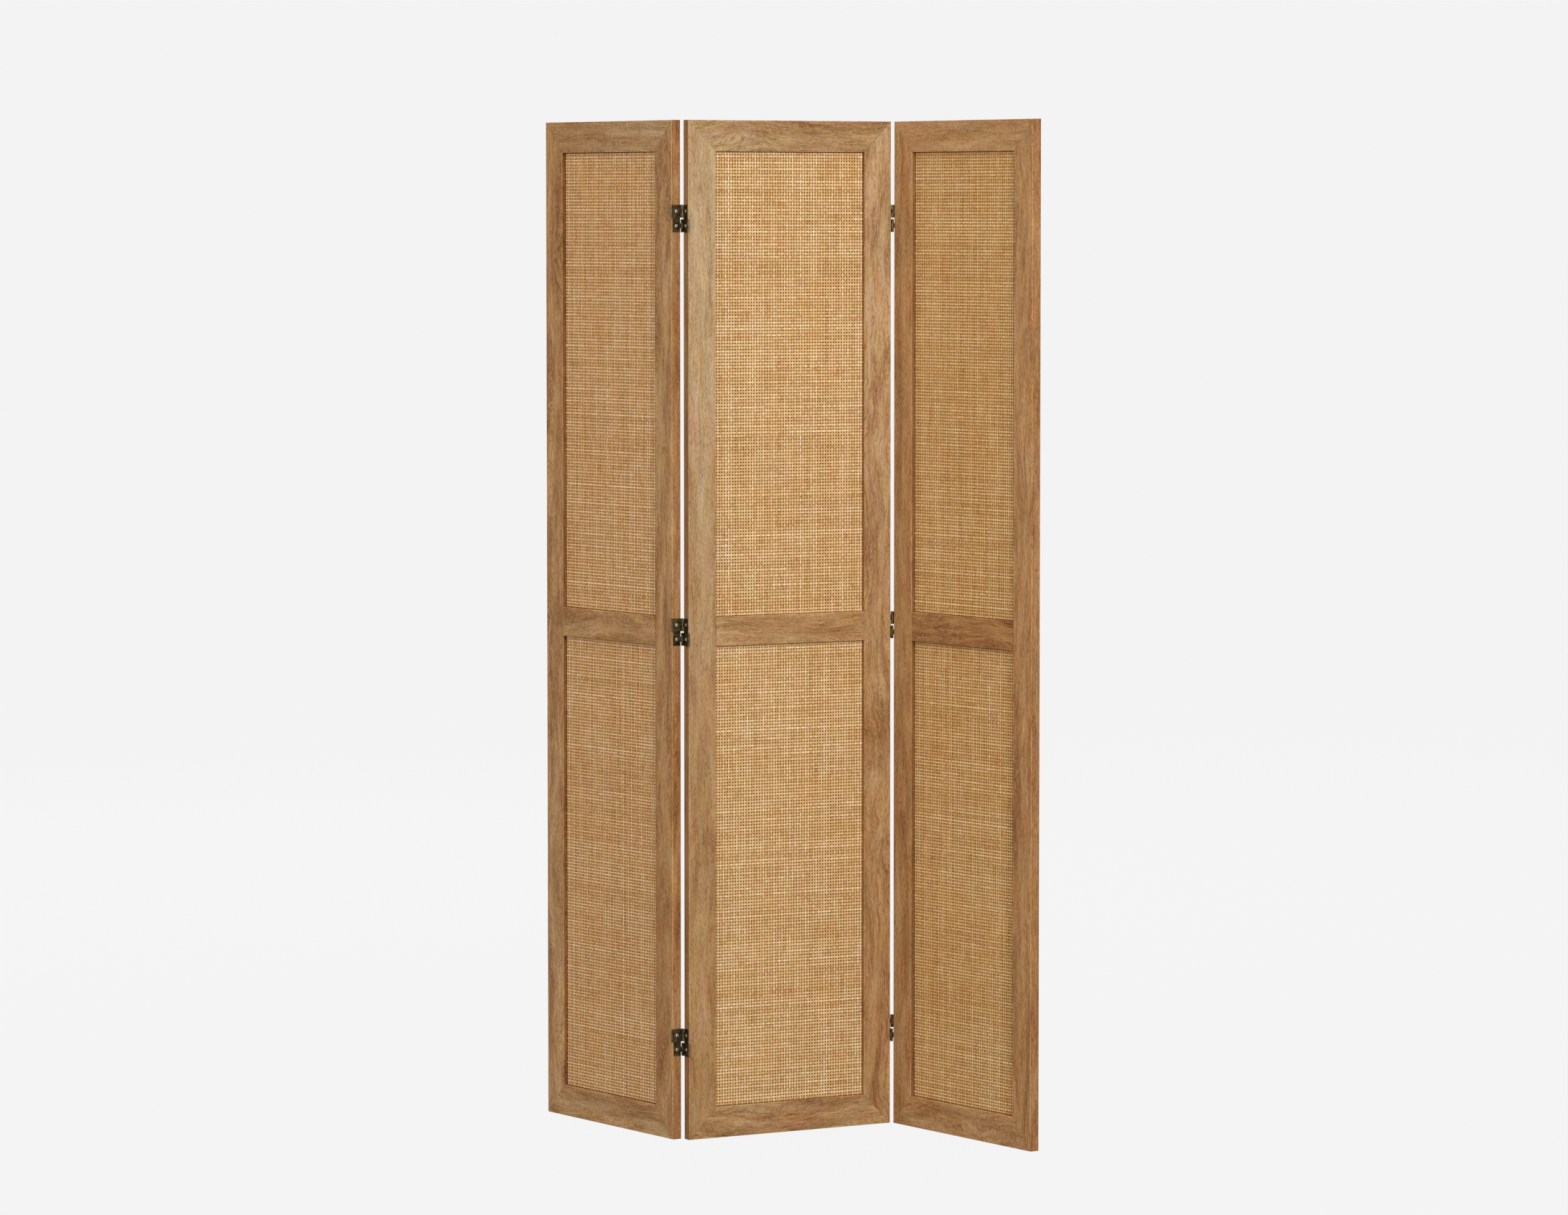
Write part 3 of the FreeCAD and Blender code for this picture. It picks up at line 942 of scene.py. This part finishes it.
@dataclass(frozen=True)
class ScrewFinish:
    """Nickel screws in a panel's edges, with painted shade round the rim of each head and in its cross
    recess.
    """

    metal: MetalFinish = NICKEL
    # Painted shade round the heads and in the cross recess.
    rim: Colour = (0.060, 0.048, 0.030, 1.0)
    recess: Colour = (0.100, 0.090, 0.070, 1.0)
    hinge_heights: tuple[float, float, float] = (0.1725, 0.9, 1.6275)
    from_hinge: float = 12.75 * MILLIMETRE
    rim_span: Span = Span(2.6 * MILLIMETRE, 3.0 * MILLIMETRE)
    recess_radius: float = 2.1 * MILLIMETRE
    recess_reach: tuple[float, float] = (207.85 * MILLIMETRE, 208.50 * MILLIMETRE)

    def material(self, name: str, place: Place) -> Material:
        """Makes the finish for the screws of one panel.

        Args:
            name: The material's name.
            place: Where the panel stands.

        Returns:
            The material.
        """
        graph, colour, _ = self.metal.start(name)
        across, through, up = graph.in_panel("Object", place)
        bottom, middle, top = (
            graph.unsigned(graph.minus(up, height)) for height in self.hinge_heights
        )
        nearest = graph.maths("MINIMUM", graph.maths("MINIMUM", bottom, middle), top)
        off_centre = graph.vector(through, graph.minus(nearest, self.from_hinge), 0.0)
        radius = graph.add("VectorMath", {0: off_centre}, operation="LENGTH").outputs["Value"]
        # Painted shade in a ring round each head.
        colour = graph.mix(graph.ranged(radius, self.rim_span), colour, self.rim)

        # Painted shade in the cross recess, near the middle of each head.
        reach = graph.unsigned(across)
        past_start = graph.maths("GREATER_THAN", reach, self.recess_reach[0])
        before_end = graph.maths("LESS_THAN", reach, self.recess_reach[1])
        near_centre = graph.maths("LESS_THAN", radius, self.recess_radius)
        recess = graph.times(graph.times(past_start, before_end), near_centre)
        graph.put(graph.shader, {"Base Color": graph.mix(recess, colour, self.recess)})
        return graph.material


@dataclass(frozen=True)
class Strands:
    """One family of cane strands: where each lies across its run, and how wide it is, in metres."""

    places: np.ndarray
    widths: np.ndarray


@dataclass
class CaneWeave:
    """One sheet of open cane cloth, over one and under one, held in the groove round an opening."""

    panel: Panel
    face: Face
    opening: Opening
    size: FrameSize = field(default_factory=FrameSize)
    pitch_across: float = 5.42 * MILLIMETRE
    pitch_up: float = 5.52 * MILLIMETRE
    upright_strand: float = 2.95 * MILLIMETRE
    level_strand: float = 3.10 * MILLIMETRE
    strand_spread: float = 0.14 * MILLIMETRE
    strand_least: float = 2.5 * MILLIMETRE
    strand_most: float = 3.85 * MILLIMETRE
    wander: float = 0.07 * MILLIMETRE
    crown_over: float = 1.72 * MILLIMETRE
    crown_under: float = 1.28 * MILLIMETRE
    roundness: float = 0.24 * MILLIMETRE
    hug: float = 0.92
    profile: tuple[float, ...] = (-1.0, 0.0, 1.0)
    shade: float = 0.55
    upright_shade_spread: float = 0.07
    level_shade_spread: float = 0.09
    darkest_strand: float = 1.8
    # Painted light over a crossing and painted shade under one, in the stored shade.
    lift: float = 0.08
    upright_groove_shade: float = 4.5
    level_groove_shade: float = 1.8
    family_numbers: float = 1000.0
    strip_half: float = 0.42

    @property
    def name(self) -> str:
        """The sheet's name as a piece."""
        return f"{self.panel.body}_{self.face.name.lower()}_{self.opening.value}_weave"

    @property
    def seed(self) -> int:
        """A number that no other sheet has."""
        sheet = list(Face).index(self.face) * len(Opening) + list(Opening).index(self.opening)
        return self.panel.number * len(Face) * len(Opening) + sheet

    def build(self, place: Place, material: Material) -> Piece:
        """Weaves the sheet.

        Args:
            place: Where its panel stands.
            material: The cane's finish.

        Returns:
            The finished piece, which rides on its panel.
        """
        rng = np.random.default_rng(self.seed)
        low, high = self.size.opening(self.opening)
        reach = self.size.half_opening
        groove = self.size.groove
        upright_places = self.spaced(-reach, reach, self.pitch_across, rng)
        level_places = self.spaced(low, high, self.pitch_up, rng)
        uprights = Strands(upright_places, self.widths(self.upright_strand, len(upright_places), rng))
        levels = Strands(level_places, self.widths(self.level_strand, len(level_places), rng))
        upright_run = (low - groove, high + groove)
        level_run = (-reach - groove, reach + groove)
        standing = self.laid(uprights, levels, upright_run, 0, rng)
        lying = self.laid(levels, uprights, level_run, 1, rng)

        side = float(self.face.value)
        points = (
            np.stack([standing[..., 1], side * standing[..., 2], standing[..., 0]], axis=-1),
            np.stack([lying[..., 0], side * lying[..., 2], lying[..., 1]], axis=-1),
        )
        front = self.face is Face.FRONT
        faces = (
            self.quads(standing, 0, not front),
            self.quads(lying, standing[..., 0].size, front),
        )
        mesh = bpy.data.meshes.new(self.name)
        local = np.concatenate([part.reshape(-1, 3) for part in points])
        mesh.from_pydata(place.to_world(local), [], np.concatenate(faces))
        mesh.shade_smooth()
        self.number_strands(mesh, ((standing, upright_run), (lying, level_run)))
        self.shade_strands(mesh, standing, lying, rng)
        mesh.materials.append(material)
        piece = linked(self.name, mesh)
        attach(piece, self.panel.body)
        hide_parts(f"{self.panel.body}_{self.face.name.lower()}_webbing")
        return piece

    def spaced(self, low: float, high: float, pitch: float, rng: np.random.Generator) -> np.ndarray:
        """Spreads strands evenly from edge to edge, each a little off its mark.

        Args:
            low: The lower edge.
            high: The upper edge.
            pitch: About how far apart they are.
            rng: The source of the small irregularities.

        Returns:
            Their places.
        """
        count = round((high - low) / pitch)
        even = low + (np.arange(count) + 0.5) * (high - low) / count
        return even + rng.uniform(-self.wander, self.wander, count)

    def widths(self, usual: float, count: int, rng: np.random.Generator) -> np.ndarray:
        """As many widths as there are strands, each a little off the usual one."""
        drawn = rng.normal(usual, self.strand_spread, count)
        return np.clip(drawn, self.strand_least, self.strand_most)

    def laid(
        self, own: Strands, crossed: Strands, run: tuple[float, float], first: int,
        rng: np.random.Generator,
    ) -> np.ndarray:
        """Lays one family of strands over and under the other.

        Args:
            own: The strands to lay.
            crossed: The strands that they cross.
            run: Where they start and end.
            first: 0 if the first strand starts over the first crossing, or else 1.
            rng: The source of the small irregularities.

        Returns:
            An array by strand, ring, profile point, and along, across and height.
        """
        half = crossed.widths * self.hug / 2
        met = np.stack([crossed.places - half, crossed.places + half], axis=1).ravel()
        along = np.concatenate([[run[0]], met, [run[1]]])
        order = np.add.outer(np.arange(len(own.places)), np.arange(len(crossed.places))) + first
        crowns = np.where(order % 2 == 0, self.crown_over, self.crown_under)
        drifts = rng.normal(0.0, self.wander, crowns.shape)
        height, drift = (
            np.pad(np.repeat(part, 2, axis=1), ((0, 0), (1, 1)), mode="edge") for part in (crowns, drifts)
        )
        profile = np.array(self.profile)
        points = np.empty((len(own.places), len(along), len(profile), 3))
        points[..., 0] = along[None, :, None]
        middle = own.places[:, None] + drift
        points[..., 1] = middle[..., None] + own.widths[:, None, None] / 2 * profile
        points[..., 2] = height[..., None] - self.roundness * np.abs(profile)
        return points

    def quads(self, strands: np.ndarray, start: int, flip: bool) -> np.ndarray:
        """Joins the rings of one family's strands.

        Args:
            strands: The strands, as laid gives them.
            start: The number of the first point.
            flip: True to turn the faces over.

        Returns:
            Rows of four point numbers.
        """
        shape = strands.shape[:3]
        numbers = start + np.arange(math.prod(shape)).reshape(shape)
        corners = (
            numbers[:, :-1, :-1], numbers[:, :-1, 1:], numbers[:, 1:, 1:], numbers[:, 1:, :-1],
        )
        found = np.stack(corners, axis=-1).reshape(-1, len(corners))
        return found[:, ::-1] if flip else found

    def number_strands(
        self, mesh: bpy.types.Mesh, families: Sequence[tuple[np.ndarray, tuple[float, float]]]
    ) -> None:
        """Stores on each point which strand it is on and where, and a flat map with a strip for each.

        Args:
            mesh: The sheet's mesh.
            families: The upright and the level strands, as laid gives them, each with its run.
        """
        over = np.array(self.profile)
        stored, flat = [], []
        for family, (points, (start, end)) in enumerate(families):
            shape = points.shape[:3]
            order = np.arange(shape[0])[:, None, None]
            number = order + self.family_numbers * (self.seed * len(families) + family)
            place = [np.broadcast_to(part, shape) for part in (over, points[..., 0], number)]
            stored.append(np.stack(place, axis=-1).reshape(-1, 3))
            along = (points[..., 0] - start) / (end - start)
            strip = (order + 0.5 + self.strip_half * over) / shape[0] * np.ones(shape)
            pair = (strip / 2, along) if family == 0 else (0.5 + along / 2, strip)
            flat.append(np.stack(pair, axis=-1).reshape(-1, 2))
        attribute = mesh.attributes.new("strand", "FLOAT_VECTOR", "POINT")
        attribute.data.foreach_set("vector", np.concatenate(stored).astype(np.float32).ravel())
        corners = np.empty(len(mesh.loops), np.int32)
        mesh.loops.foreach_get("vertex_index", corners)
        layer = mesh.uv_layers.new(name="OFBake")
        layer.uv.foreach_set("vector", np.concatenate(flat)[corners].astype(np.float32).ravel())

    def shade_strands(
        self, mesh: bpy.types.Mesh, standing: np.ndarray, lying: np.ndarray, rng: np.random.Generator
    ) -> None:
        """Stores each strand's own shade, with painted light over a crossing, painted shade under one and
        painted shade in the groove.

        Args:
            mesh: The sheet's mesh.
            standing: The upright strands, as laid gives them.
            lying: The level strands, likewise.
            rng: The source of the shades.
        """
        middle = (self.crown_over + self.crown_under) / 2
        half = (self.crown_over - self.crown_under) / 2
        centre_point = len(self.profile) // 2
        families = (
            (standing, self.upright_shade_spread, self.upright_groove_shade),
            (lying, self.level_shade_spread, self.level_groove_shade),
        )
        shades = []
        for points, spread, groove_shade in families:
            drawn = rng.normal(self.shade, spread, len(points))
            own = np.maximum(drawn, self.shade - self.darkest_strand * spread)
            # Painted light over crossings and painted shade under them.
            shade = own[:, None] + self.lift * (points[:, :, centre_point, 2] - middle) / half
            # Painted shade at the strand ends that run into the groove.
            shade[:, [0, -1]] -= groove_shade
            shades.append(np.repeat(shade, len(self.profile), axis=1).ravel())
        attribute = mesh.attributes.new("shade", "FLOAT", "POINT")
        attribute.data.foreach_set("value", np.concatenate(shades).astype(np.float32))


def dress(node: str, material: Material) -> Piece:
    """Gives a carried-over solid its finish.

    Args:
        node: The solid's name.
        material: Its finish.

    Returns:
        The dressed solid.
    """
    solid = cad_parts[node]
    if not solid.material_slots:
        solid.data.materials.append(material)
    for slot in solid.material_slots:
        slot.material = material
    return solid


@dataclass
class FramedPanel:
    """One leaf of the screen: five bars, two boards, four sheets of cane and its share of the fittings."""

    panel: Panel
    wood: WoodFinish
    finishes: dict[str, Material]
    size: FrameSize = field(default_factory=FrameSize)
    cuts: tuple[Cut, ...] = (Cut(),) * len(Member)
    level_strand: float = CaneWeave.level_strand

    def build(self) -> list[Piece]:
        """Dresses the solids and weaves the cane.

        Returns:
            Every piece of the panel.
        """
        place = Place.of(self.panel)
        return self.bars(place) + self.boards() + self.weaves(place) + self.fittings()

    def bars(self, place: Place) -> list[Piece]:
        """Dresses the frame, each bar in its own piece of wood.

        Args:
            place: Where the panel stands.

        Returns:
            The five bars.
        """
        made = []
        for number, (member, cut) in enumerate(zip(Member, self.cuts), start=1):
            seed = self.panel.number * len(Member) + number
            name = f"{self.panel.body}_{member.value}"
            finish = self.wood.material(f"{name}_wood", place, member.grain, seed, cut, self.size)
            made.append(dress(name, finish))
        return made

    def boards(self) -> list[Piece]:
        """Dresses the boards behind the cane."""
        nodes = [f"{self.panel.body}_{opening.value}_board" for opening in Opening]
        return [dress(node, self.finishes["board"]) for node in nodes]

    def weaves(self, place: Place) -> list[Piece]:
        """Weaves a sheet for each face of each opening.

        Args:
            place: Where the panel stands.

        Returns:
            The four sheets.
        """
        sheets = [
            CaneWeave(self.panel, face, opening, self.size, level_strand=self.level_strand)
            for face in Face for opening in Opening
        ]
        return [sheet.build(place, self.finishes[f"{self.panel.value}_cane"]) for sheet in sheets]

    def fittings(self) -> list[Piece]:
        """Dresses the dowels, screws and pins that stay with this panel."""
        kinds = (
            ("dowels", "dowel"), ("hinge_screws", f"{self.panel.value}_nickel"), ("hinge_pins", "bronze"),
        )
        return [dress(f"{self.panel.body}_{part}", self.finishes[finish]) for part, finish in kinds]


@dataclass
class FoldingHinge:
    """One hinge of a seam, of a kind that folds both ways: two leaves and two links."""

    seam: str
    level: str
    finishes: dict[str, Material]
    parts: tuple[str, ...] = ("left_leaf", "right_leaf", "upper_link", "lower_link")
    square_enough: float = 0.9

    def build(self) -> list[Piece]:
        """Dresses the hinge's four plates, each in the finish that knows which way its flat faces look;
        plates flat on the centre panel take a darker copy of the bronze, which paints shade on them.

        Returns:
            The four plates.
        """
        made = []
        for part in self.parts:
            node = f"{self.seam}_{self.level}_hinge_{part}"
            widest = max(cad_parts[node].data.polygons, key=lambda face: face.area)
            squareness = abs(widest.normal.dot(Panel.CENTRE.across))
            # Plates flat on the centre panel take the darker bronze, which paints shade on them.
            panel = Panel.CENTRE if squareness > self.square_enough else Panel.LEFT
            made.append(dress(node, self.finishes[f"{panel.value}_bronze"]))
        return made


@dataclass(frozen=True)
class Lamp:
    """One large soft lamp: where it stands, its side in metres and its power in watts."""

    name: str
    place: tuple[float, float, float]
    size: float
    power: float


@dataclass
class Studio:
    """A plain pale room with soft lamps before and behind the screen, and the camera."""

    backdrop: float = 0.896
    ambient: float = 0.43
    floor_size: float = 400.0
    floor_glow: float = 0.99
    lamps: tuple[Lamp, ...] = (
        Lamp("key_lamp", (3.4, -5.2, 3.5), 2.6, 345.0),
        Lamp("fill_lamp", (-4.6, -4.6, 3.6), 2.6, 175.0),
        Lamp("rear_key_lamp", (-3.4, 5.2, 3.5), 2.6, 300.0),
        Lamp("rear_fill_lamp", (4.6, 4.6, 3.6), 2.6, 170.0),
    )
    aim: Vector = field(default_factory=lambda: Vector((0.0, 0.0, 0.95)))
    image_width: int = 2184
    focal: float = 8600.633
    azimuth: float = math.radians(12.746)
    pitch: float = math.radians(3.6733)
    distance: float = 10951.228 * MILLIMETRE
    aside: float = -7.402 * MILLIMETRE
    height: float = 1640.213 * MILLIMETRE
    sensor: float = 36.0

    def build(self) -> list[Piece]:
        """Sets up the room.

        Returns:
            The floor, the lamps and the camera.
        """
        bpy.context.scene.view_settings.view_transform = "Standard"
        self.world()
        return [self.floor(), *(self.light(lamp) for lamp in self.lamps), self.camera()]

    def world(self) -> None:
        """An even pale backdrop, seen and mirrored at full brightness, which lights the rest more softly."""
        world = bpy.data.worlds.new("backdrop")
        world.use_nodes = True
        tree = world.node_tree
        shown = tree.nodes["Background"]
        given, path, bright, mixed = (
            tree.nodes.new(f"ShaderNode{kind}") for kind in ("Background", "LightPath", "Math", "MixShader")
        )
        shown.inputs["Color"].default_value = opaque([self.backdrop] * 3)
        given.inputs["Color"].default_value = opaque([self.ambient] * 3)
        bright.operation = "MAXIMUM"
        links = (
            (path.outputs["Is Camera Ray"], bright.inputs[0]),
            (path.outputs["Is Glossy Ray"], bright.inputs[1]),
            (bright.outputs[0], mixed.inputs[0]),
            (given.outputs[0], mixed.inputs[1]),
            (shown.outputs[0], mixed.inputs[2]),
            (mixed.outputs[0], tree.nodes["World Output"].inputs[0]),
        )
        for source, target in links:
            tree.links.new(source, target)
        bpy.context.scene.world = world

    def floor(self) -> Piece:
        """Lays a pale floor that runs out of sight and takes a faint shadow.

        Returns:
            The floor.
        """
        half = self.floor_size / 2
        corners = [(-half, -half, 0), (half, -half, 0), (half, half, 0), (-half, half, 0)]
        mesh = bpy.data.meshes.new("floor")
        mesh.from_pydata(corners, [], [(0, 1, 2, 3)])
        graph = NodeGraph("floor")
        lit = 1.0 - self.floor_glow
        values = {
            "Base Color": opaque([lit] * 3), "Roughness": 1.0, "Specular IOR Level": 0.0,
            "Emission Color": opaque([self.backdrop] * 3), "Emission Strength": 1.0 - lit / 2,
        }
        graph.put(graph.shader, values)
        mesh.materials.append(graph.material)
        floor = linked("floor", mesh)
        floor.visible_diffuse = False
        floor.visible_glossy = False
        return floor

    def light(self, lamp: Lamp) -> Piece:
        """Hangs a lamp that looks at the screen.

        Args:
            lamp: Its place, size and power.

        Returns:
            The lamp.
        """
        data = bpy.data.lights.new(lamp.name, "AREA")
        data.shape = "SQUARE"
        data.size = lamp.size
        data.energy = lamp.power
        made = linked(lamp.name, data)
        made.location = lamp.place
        made.rotation_euler = (self.aim - made.location).to_track_quat("-Z", "Y").to_euler()
        return made

    def camera(self) -> Piece:
        """Sets the camera where the photograph was taken from.

        Returns:
            The camera.
        """
        data = bpy.data.cameras.new("camera")
        data.sensor_width = self.sensor
        data.lens = self.focal / self.image_width * self.sensor
        data.clip_end = self.floor_size
        camera = linked("camera", data)
        sine, cosine = math.sin(self.azimuth), math.cos(self.azimuth)
        camera.location = (
            sine * self.distance + cosine * self.aside,
            -cosine * self.distance + sine * self.aside,
            self.height,
        )
        ahead = math.cos(self.pitch)
        looks = Vector((-sine * ahead, cosine * ahead, -math.sin(self.pitch)))
        camera.rotation_euler = looks.to_track_quat("-Z", "Y").to_euler()
        bpy.context.scene.camera = camera
        return camera


CUTS = {
    Panel.LEFT: (
        Cut(tone=-0.065, cool=0.06, figure=1.2, drift=-0.5),
        Cut(tone=-0.04, cool=0.04, figure=0.8, drift=0.35),
        Cut(tone=0.0, cool=0.20, figure=0.3, drift=0.65),
        Cut(tone=-0.03, cool=0.05, figure=0.8),
        Cut(tone=-0.01, cool=0.14, figure=0.8),
    ),
    Panel.CENTRE: (
        Cut(tone=0.11, cool=0.30, figure=0.5, edge=0.70, drift=1.0),
        Cut(tone=0.06, cool=0.15, figure=1.6, edge=1.2, drift=0.7),
        Cut(tone=-0.075, cool=0.38, figure=1.0, drift=-0.35),
        Cut(tone=0.07, cool=0.14, drift=-0.2),
        Cut(tone=-0.04, cool=0.15, figure=1.2),
    ),
    Panel.RIGHT: (
        Cut(tone=0.04, figure=0.6),
        Cut(tone=0.01, figure=0.9, drift=0.15),
        Cut(tone=0.02, cool=0.05, figure=0.3, drift=0.15),
        Cut(tone=-0.16, cool=-0.04, drift=-0.4),
        Cut(cool=0.02, drift=0.3),
    ),
}
LEVEL_STRANDS = {
    Panel.LEFT: 2.60 * MILLIMETRE,
    Panel.CENTRE: 3.10 * MILLIMETRE,
    Panel.RIGHT: 2.80 * MILLIMETRE,
}
CANES = {
    Panel.LEFT: CaneFinish(tint=(1.02, 0.92, 0.88, 1.0)),
    Panel.CENTRE: CaneFinish(),
    Panel.RIGHT: CaneFinish(tint=(0.94, 0.875, 0.765, 1.0)),
}
DOWEL_CUT = Cut(tone=0.1)
DOWEL_SEED = 99
SEAMS = ("left", "right")
HINGE_LEVELS = ("top", "middle", "bottom")


def make_finishes(wood: WoodFinish) -> dict[str, Material]:
    """Makes the finishes that several pieces share.

    Args:
        wood: The wood of the frames, which the dowels have too.

    Returns:
        The materials by name.
    """
    finishes = {f"{panel.value}_cane": CANES[panel].material(f"{panel.body}_cane") for panel in Panel}
    finishes |= {
        "board": BoardFinish().material("backing_board"),
        "bronze": BRONZE.material("aged_bronze"),
        "left_bronze": BRONZE.material("outer_panel_bronze", Panel.LEFT.across),
        # The darker bronze paints shade on the plates that face away from the light.
        "centre_bronze": SHADED_BRONZE.material("centre_panel_bronze", Panel.CENTRE.across),
    }
    for panel in Panel:
        nickel = ScrewFinish().material(f"{panel.body}_nickel", Place.of(panel))
        finishes[f"{panel.value}_nickel"] = nickel
    centre, size = Place.of(Panel.CENTRE), FrameSize()
    dowel = wood.material("dowel_wood", centre, Grain.LEVEL, DOWEL_SEED, DOWEL_CUT, size)
    return finishes | {"dowel": dowel}


def main() -> None:
    """Builds the screen and its studio, and reports each piece."""
    logging.basicConfig(level=logging.INFO, format="%(name)s: %(message)s")
    wood = WoodFinish()
    finishes = make_finishes(wood)
    assemblies: list[Studio | FramedPanel | FoldingHinge] = [Studio()]
    for panel in Panel:
        level_strand = LEVEL_STRANDS[panel]
        assemblies.append(
            FramedPanel(panel, wood, finishes, cuts=CUTS[panel], level_strand=level_strand)
        )
    for seam in SEAMS:
        assemblies += [FoldingHinge(seam, level, finishes) for level in HINGE_LEVELS]
    for assembly in assemblies:
        for piece in assembly.build():
            log.info("%s: %s", type(assembly).__name__, piece.name)


if __name__ == "__main__":
    main()
